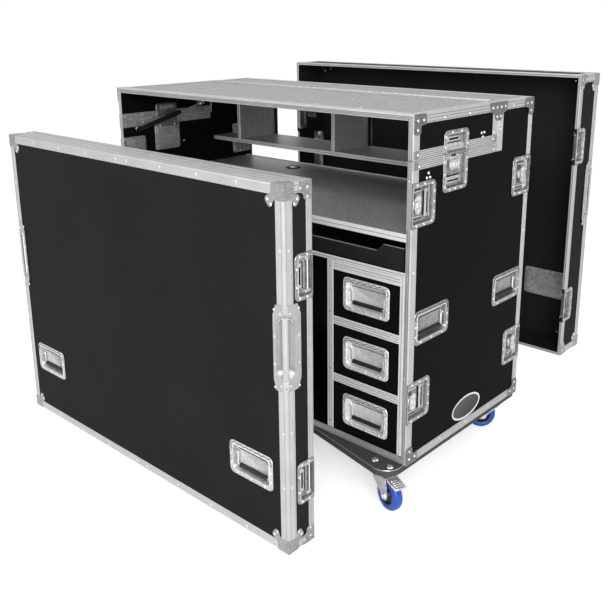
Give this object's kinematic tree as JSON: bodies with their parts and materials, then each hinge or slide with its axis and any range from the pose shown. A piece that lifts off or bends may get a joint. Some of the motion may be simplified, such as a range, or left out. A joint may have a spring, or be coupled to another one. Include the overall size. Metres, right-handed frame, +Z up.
{
  "type": "rolling equipment case",
  "caption": "Wheeled road case for video production gear, with worktop, pull-out tray, drawers, rack bays, hinged lid and two lift-off covers.",
  "frame": {"origin": "centre of the flat underside of the wheel board, below the middle of the case", "axes": "+Z up, the open front with the drawers faces -Y, +X towards the side with the badge plate"},
  "size_m": [1.497, 1.472, 1.238],
  "materials": {
    "black_board": "matte black film on plywood",
    "silver_laminate": "brushed silver laminate on plywood",
    "framed_board": "plywood with silver edging",
    "extrusion": "ribbed anodised extrusion",
    "stamped_steel": "zinc-plated",
    "black_steel": "satin black",
    "black_plastic": "matte",
    "handle_grip": "ribbed, matte",
    "blue_tyre": "smooth satin",
    "wheel_board": "black film on plywood"
  },
  "bodies": {
    "case": {"case_panels": "black_board", "worktop": "silver_laminate", "cable_grommet": "black_plastic", "tray_shelf": "black_board", "bay_divider": "black_board", "rack_section": "silver_laminate", "drawer_cabinet": "framed_board", "case_metalwork": "extrusion", "badge_plate": "black_plastic", "case_hinge": "stamped_steel", "hinge_pin": "stamped_steel", "wheel_board": "wheel_board"},
    "lid": {"lid_panels": "silver_laminate", "lid_metalwork": "extrusion", "lid_hinge": "stamped_steel"},
    "drawer_1": {"drawer_1": "black_board"},
    "drawer_2": {"drawer_2": "black_board"},
    "drawer_3": {"drawer_3": "black_board"},
    "tray": {"keyboard_tray": "black_steel"},
    "front_cover": {"front_cover_shell": "black_board", "front_cover_frame": "extrusion", "front_cover_rim": "extrusion"},
    "rear_cover": {"rear_cover_shell": "black_board", "rear_cover_frame": "extrusion", "rear_cover_rim": "extrusion"},
    "bail_drawer_1": {"bail_drawer_1": "handle_grip"},
    "bail_drawer_2": {"bail_drawer_2": "handle_grip"},
    "bail_drawer_3": {"bail_drawer_3": "handle_grip"},
    "bail_front_cover_left": {"bail_front_cover_left": "handle_grip"},
    "bail_rear_cover_left": {"bail_rear_cover_left": "handle_grip"},
    "bail_front_cover_right": {"bail_front_cover_right": "handle_grip"},
    "bail_rear_cover_right": {"bail_rear_cover_right": "handle_grip"},
    "bail_right_front": {"bail_right_front": "handle_grip"},
    "bail_right_rear": {"bail_right_rear": "handle_grip"},
    "bail_left_front": {"bail_left_front": "handle_grip"},
    "bail_left_rear": {"bail_left_rear": "handle_grip"},
    "wing_right_front_lower": {"wing_right_front_lower": "stamped_steel"},
    "wing_right_front_upper": {"wing_right_front_upper": "stamped_steel"},
    "wing_right_rear_lower": {"wing_right_rear_lower": "stamped_steel"},
    "wing_right_rear_upper": {"wing_right_rear_upper": "stamped_steel"},
    "wing_lid_right": {"wing_lid_right": "stamped_steel"},
    "wing_left_front_lower": {"wing_left_front_lower": "stamped_steel"},
    "wing_left_front_upper": {"wing_left_front_upper": "stamped_steel"},
    "wing_left_rear_lower": {"wing_left_rear_lower": "stamped_steel"},
    "wing_left_rear_upper": {"wing_left_rear_upper": "stamped_steel"},
    "wing_lid_left": {"wing_lid_left": "stamped_steel"},
    "fork_front_right": {"fork_front_right": "stamped_steel"},
    "wheel_front_right": {"wheel_front_right": "blue_tyre"},
    "pedal_front_right": {"pedal_front_right": "stamped_steel"},
    "fork_front_left": {"fork_front_left": "stamped_steel"},
    "wheel_front_left": {"wheel_front_left": "blue_tyre"},
    "pedal_front_left": {"pedal_front_left": "stamped_steel"},
    "fork_rear_right": {"fork_rear_right": "stamped_steel"},
    "wheel_rear_right": {"wheel_rear_right": "blue_tyre"},
    "fork_rear_left": {"fork_rear_left": "stamped_steel"},
    "wheel_rear_left": {"wheel_rear_left": "blue_tyre"},
    "strut_tube_right": {"strut_tube_right": "black_steel"},
    "strut_rod_right": {"strut_rod_right": "stamped_steel"},
    "strut_tube_left": {"strut_tube_left": "black_steel"},
    "strut_rod_left": {"strut_rod_left": "stamped_steel"}
  },
  "joints": [
    {"name": "lid_hinge", "type": "hinge", "parent": "case", "child": "lid", "pos_m": [0, 0.11, 1.0625], "axis": [-1, 0, 0], "range_deg": [0, 90]},
    {"name": "drawer_1_slide", "type": "slide", "parent": "case", "child": "drawer_1", "axis": [0, -1, 0], "range_m": [0, 0.225]},
    {"name": "drawer_2_slide", "type": "slide", "parent": "case", "child": "drawer_2", "axis": [0, -1, 0], "range_m": [0, 0.225]},
    {"name": "drawer_3_slide", "type": "slide", "parent": "case", "child": "drawer_3", "axis": [0, -1, 0], "range_m": [0, 0.225]},
    {"name": "tray_slide", "type": "slide", "parent": "case", "child": "tray", "axis": [0, -1, 0], "range_m": [0, 0.225]},
    {"name": "front_cover_slide", "type": "slide", "parent": "case", "child": "front_cover", "axis": [0, 1, 0], "range_m": [-0.35, 0]},
    {"name": "rear_cover_slide", "type": "slide", "parent": "case", "child": "rear_cover", "axis": [-0.1179, -0.9734, -0.1965], "range_m": [0, 0.27945]},
    {"name": "bail_drawer_1_hinge", "type": "hinge", "parent": "drawer_1", "child": "bail_drawer_1", "pos_m": [0.5155, -0.3172, 0.142], "axis": [-1, 0, 0], "range_deg": [0, 90], "stiffness_Nm_per_rad": 0.3},
    {"name": "bail_drawer_2_hinge", "type": "hinge", "parent": "drawer_2", "child": "bail_drawer_2", "pos_m": [0.5155, -0.3172, 0.332], "axis": [-1, 0, 0], "range_deg": [0, 90], "stiffness_Nm_per_rad": 0.3},
    {"name": "bail_drawer_3_hinge", "type": "hinge", "parent": "drawer_3", "child": "bail_drawer_3", "pos_m": [0.5155, -0.3172, 0.522], "axis": [-1, 0, 0], "range_deg": [0, 90], "stiffness_Nm_per_rad": 0.3},
    {"name": "bail_front_cover_left_hinge", "type": "hinge", "parent": "front_cover", "child": "bail_front_cover_left", "pos_m": [-0.64, -0.7032, 0.1123], "axis": [-1, 0, 0], "range_deg": [0, 90], "stiffness_Nm_per_rad": 0.3},
    {"name": "bail_rear_cover_left_hinge", "type": "hinge", "parent": "rear_cover", "child": "bail_rear_cover_left", "pos_m": [0.563, 0.7432, 0.31], "axis": [1, 0, 0], "range_deg": [0, 90], "stiffness_Nm_per_rad": 0.3},
    {"name": "bail_front_cover_right_hinge", "type": "hinge", "parent": "front_cover", "child": "bail_front_cover_right", "pos_m": [0.42, -0.7032, 0.1123], "axis": [-1, 0, 0], "range_deg": [0, 90], "stiffness_Nm_per_rad": 0.3},
    {"name": "bail_rear_cover_right_hinge", "type": "hinge", "parent": "rear_cover", "child": "bail_rear_cover_right", "pos_m": [-0.497, 0.7432, 0.31], "axis": [1, 0, 0], "range_deg": [0, 90], "stiffness_Nm_per_rad": 0.3},
    {"name": "bail_right_front_hinge", "type": "hinge", "parent": "case", "child": "bail_right_front", "pos_m": [0.666, -0.217, 0.458], "axis": [0, -1, 0], "range_deg": [0, 90], "stiffness_Nm_per_rad": 0.3},
    {"name": "bail_right_rear_hinge", "type": "hinge", "parent": "case", "child": "bail_right_rear", "pos_m": [0.666, 0.217, 0.458], "axis": [0, -1, 0], "range_deg": [0, 90], "stiffness_Nm_per_rad": 0.3},
    {"name": "bail_left_front_hinge", "type": "hinge", "parent": "case", "child": "bail_left_front", "pos_m": [-0.666, -0.217, 0.458], "axis": [0, 1, 0], "range_deg": [0, 90], "stiffness_Nm_per_rad": 0.3},
    {"name": "bail_left_rear_hinge", "type": "hinge", "parent": "case", "child": "bail_left_rear", "pos_m": [-0.666, 0.217, 0.458], "axis": [0, 1, 0], "range_deg": [0, 90], "stiffness_Nm_per_rad": 0.3},
    {"name": "wing_right_front_lower_turn", "type": "hinge", "parent": "case", "child": "wing_right_front_lower", "pos_m": [0.6745, -0.295, 0.219], "axis": [1, 0, 0], "range_deg": [0, 180]},
    {"name": "wing_right_front_upper_turn", "type": "hinge", "parent": "case", "child": "wing_right_front_upper", "pos_m": [0.6745, -0.295, 0.811], "axis": [1, 0, 0], "range_deg": [0, 180]},
    {"name": "wing_right_rear_lower_turn", "type": "hinge", "parent": "case", "child": "wing_right_rear_lower", "pos_m": [0.6745, 0.295, 0.219], "axis": [1, 0, 0], "range_deg": [0, 180]},
    {"name": "wing_right_rear_upper_turn", "type": "hinge", "parent": "case", "child": "wing_right_rear_upper", "pos_m": [0.6745, 0.295, 0.811], "axis": [1, 0, 0], "range_deg": [0, 180]},
    {"name": "wing_lid_right_turn", "type": "hinge", "parent": "case", "child": "wing_lid_right", "pos_m": [0.6745, -0.119, 0.901], "axis": [1, 0, 0], "range_deg": [0, 180]},
    {"name": "wing_left_front_lower_turn", "type": "hinge", "parent": "case", "child": "wing_left_front_lower", "pos_m": [-0.6745, -0.295, 0.219], "axis": [-1, 0, 0], "range_deg": [0, 180]},
    {"name": "wing_left_front_upper_turn", "type": "hinge", "parent": "case", "child": "wing_left_front_upper", "pos_m": [-0.6745, -0.295, 0.811], "axis": [-1, 0, 0], "range_deg": [0, 180]},
    {"name": "wing_left_rear_lower_turn", "type": "hinge", "parent": "case", "child": "wing_left_rear_lower", "pos_m": [-0.6745, 0.295, 0.219], "axis": [-1, 0, 0], "range_deg": [0, 180]},
    {"name": "wing_left_rear_upper_turn", "type": "hinge", "parent": "case", "child": "wing_left_rear_upper", "pos_m": [-0.6745, 0.295, 0.811], "axis": [-1, 0, 0], "range_deg": [0, 180]},
    {"name": "wing_lid_left_turn", "type": "hinge", "parent": "case", "child": "wing_lid_left", "pos_m": [-0.6745, -0.119, 0.901], "axis": [-1, 0, 0], "range_deg": [0, 180]},
    {"name": "swivel_front_right", "type": "hinge", "parent": "case", "child": "fork_front_right", "pos_m": [0.605, -0.345, -0.0123], "axis": [0, 0, 1], "continuous": true},
    {"name": "roll_front_right", "type": "hinge", "parent": "fork_front_right", "child": "wheel_front_right", "pos_m": [0.63847, -0.35523, -0.072], "axis": [0.2924, 0.9563, 0], "continuous": true},
    {"name": "pedal_front_right_tilt", "type": "hinge", "parent": "fork_front_right", "child": "pedal_front_right", "pos_m": [0.64545, -0.35737, -0.0156], "axis": [0.2924, 0.9563, 0], "range_deg": [0, 12]},
    {"name": "swivel_front_left", "type": "hinge", "parent": "case", "child": "fork_front_left", "pos_m": [-0.605, -0.345, -0.0123], "axis": [0, 0, 1], "continuous": true},
    {"name": "roll_front_left", "type": "hinge", "parent": "fork_front_left", "child": "wheel_front_left", "pos_m": [-0.63847, -0.35523, -0.072], "axis": [0.2924, -0.9563, 0], "continuous": true},
    {"name": "pedal_front_left_tilt", "type": "hinge", "parent": "fork_front_left", "child": "pedal_front_left", "pos_m": [-0.64545, -0.35737, -0.0156], "axis": [0.2924, -0.9563, 0], "range_deg": [0, 12]},
    {"name": "swivel_rear_right", "type": "hinge", "parent": "case", "child": "fork_rear_right", "pos_m": [0.605, 0.29, -0.0123], "axis": [0, 0, 1], "continuous": true},
    {"name": "roll_rear_right", "type": "hinge", "parent": "fork_rear_right", "child": "wheel_rear_right", "pos_m": [0.57899, 0.26658, -0.072], "axis": [0.6691, -0.7431, 0], "continuous": true},
    {"name": "swivel_rear_left", "type": "hinge", "parent": "case", "child": "fork_rear_left", "pos_m": [-0.605, 0.29, -0.0123], "axis": [0, 0, 1], "continuous": true},
    {"name": "roll_rear_left", "type": "hinge", "parent": "fork_rear_left", "child": "wheel_rear_left", "pos_m": [-0.57899, 0.26658, -0.072], "axis": [0.6691, 0.7431, 0], "continuous": true},
    {"name": "strut_right_turn", "type": "hinge", "parent": "case", "child": "strut_tube_right", "pos_m": [0.6442, -0.262, 0.902], "axis": [1, 0, 0], "range_deg": [0, 24.94]},
    {"name": "strut_right_extend", "type": "slide", "parent": "strut_tube_right", "child": "strut_rod_right", "axis": [0, 0.9701, 0.2425], "range_m": [0, 0.0549]},
    {"name": "strut_left_turn", "type": "hinge", "parent": "case", "child": "strut_tube_left", "pos_m": [-0.6442, -0.262, 0.902], "axis": [1, 0, 0], "range_deg": [0, 24.94]},
    {"name": "strut_left_extend", "type": "slide", "parent": "strut_tube_left", "child": "strut_rod_left", "axis": [0, 0.9701, 0.2425], "range_m": [0, 0.0549]}
  ],
  "couplings": [
    {"joint": "strut_right_turn", "follows": "lid_hinge", "ratio": 0.27156},
    {"joint": "strut_right_extend", "follows": "lid_hinge", "m_per_rad": 0.03431},
    {"joint": "strut_left_turn", "follows": "lid_hinge", "ratio": 0.27156},
    {"joint": "strut_left_extend", "follows": "lid_hinge", "m_per_rad": 0.03431}
  ]
}
